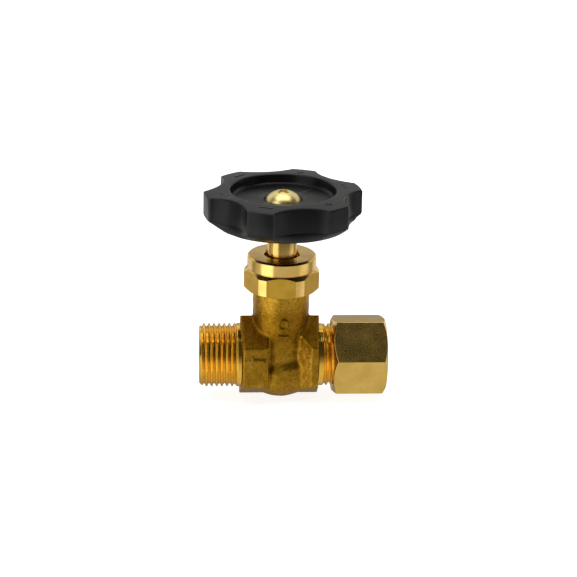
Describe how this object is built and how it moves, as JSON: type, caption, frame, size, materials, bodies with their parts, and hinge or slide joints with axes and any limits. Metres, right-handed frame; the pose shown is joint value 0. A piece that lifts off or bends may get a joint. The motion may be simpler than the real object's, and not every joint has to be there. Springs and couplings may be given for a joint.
{
  "type": "needle valve",
  "caption": "Straight brass needle valve with a male thread outlet, a compression nut inlet, a rising stem and a moulded handwheel.",
  "frame": {"origin": "centre of the outlet's end face, on the pipe axis", "axes": "+X along the pipe axis from the outlet to the inlet, +Z parallel to the stem towards the handwheel"},
  "size_m": [0.0487, 0.04, 0.0563],
  "materials": {
    "forged_brass": "fine grit-blasted forging, with machined threads and faces",
    "turned_brass": "bright turned",
    "black_plastic": "semi-matte moulded",
    "packing": "pressed graphite",
    "stainless": "ground"
  },
  "bodies": {
    "valve_body": {"valve_body": "forged_brass", "packing_washer": "turned_brass", "packing_ring_1": "packing", "packing_ring_2": "packing", "packing_ring_3": "packing"},
    "needle": {"needle": "stainless"},
    "stem": {"stem": "turned_brass", "needle_ring": "stainless", "wheel_insert": "turned_brass", "handwheel": "black_plastic", "wheel_washer": "stainless", "wheel_screw": "turned_brass"},
    "gland_follower": {"gland_follower": "turned_brass"},
    "packing_nut": {"packing_nut": "turned_brass"},
    "olive": {"olive": "turned_brass"},
    "coupling_nut": {"coupling_nut": "turned_brass"}
  },
  "joints": [
    {"name": "needle_lift", "type": "slide", "parent": "valve_body", "child": "needle", "axis": [0, 0, 1], "range_m": [-0.003, 0.001]},
    {"name": "stem_turn", "type": "hinge", "parent": "needle", "child": "stem", "pos_m": [0.0212, 0, 0.01], "axis": [0, 0, 1], "range_deg": [-1080, 360]},
    {"name": "gland_lift", "type": "slide", "parent": "valve_body", "child": "gland_follower", "axis": [0, 0, 1], "range_m": [0, 0.005]},
    {"name": "packing_nut_turn", "type": "hinge", "parent": "gland_follower", "child": "packing_nut", "pos_m": [0.0212, 0, 0.02], "axis": [0, 0, 1], "range_deg": [0, 1800]},
    {"name": "olive_slide", "type": "slide", "parent": "valve_body", "child": "olive", "axis": [1, 0, 0], "range_m": [0, 0.00802]},
    {"name": "coupling_nut_turn", "type": "hinge", "parent": "olive", "child": "coupling_nut", "pos_m": [0.04, 0, 0], "axis": [1, 0, 0], "range_deg": [0, 2160]}
  ],
  "couplings": [
    {"joint": "stem_turn", "follows": "needle_lift", "rad_per_m": 6283.2},
    {"joint": "packing_nut_turn", "follows": "gland_lift", "rad_per_m": 6283.2},
    {"joint": "coupling_nut_turn", "follows": "olive_slide", "rad_per_m": 4699.5}
  ]
}
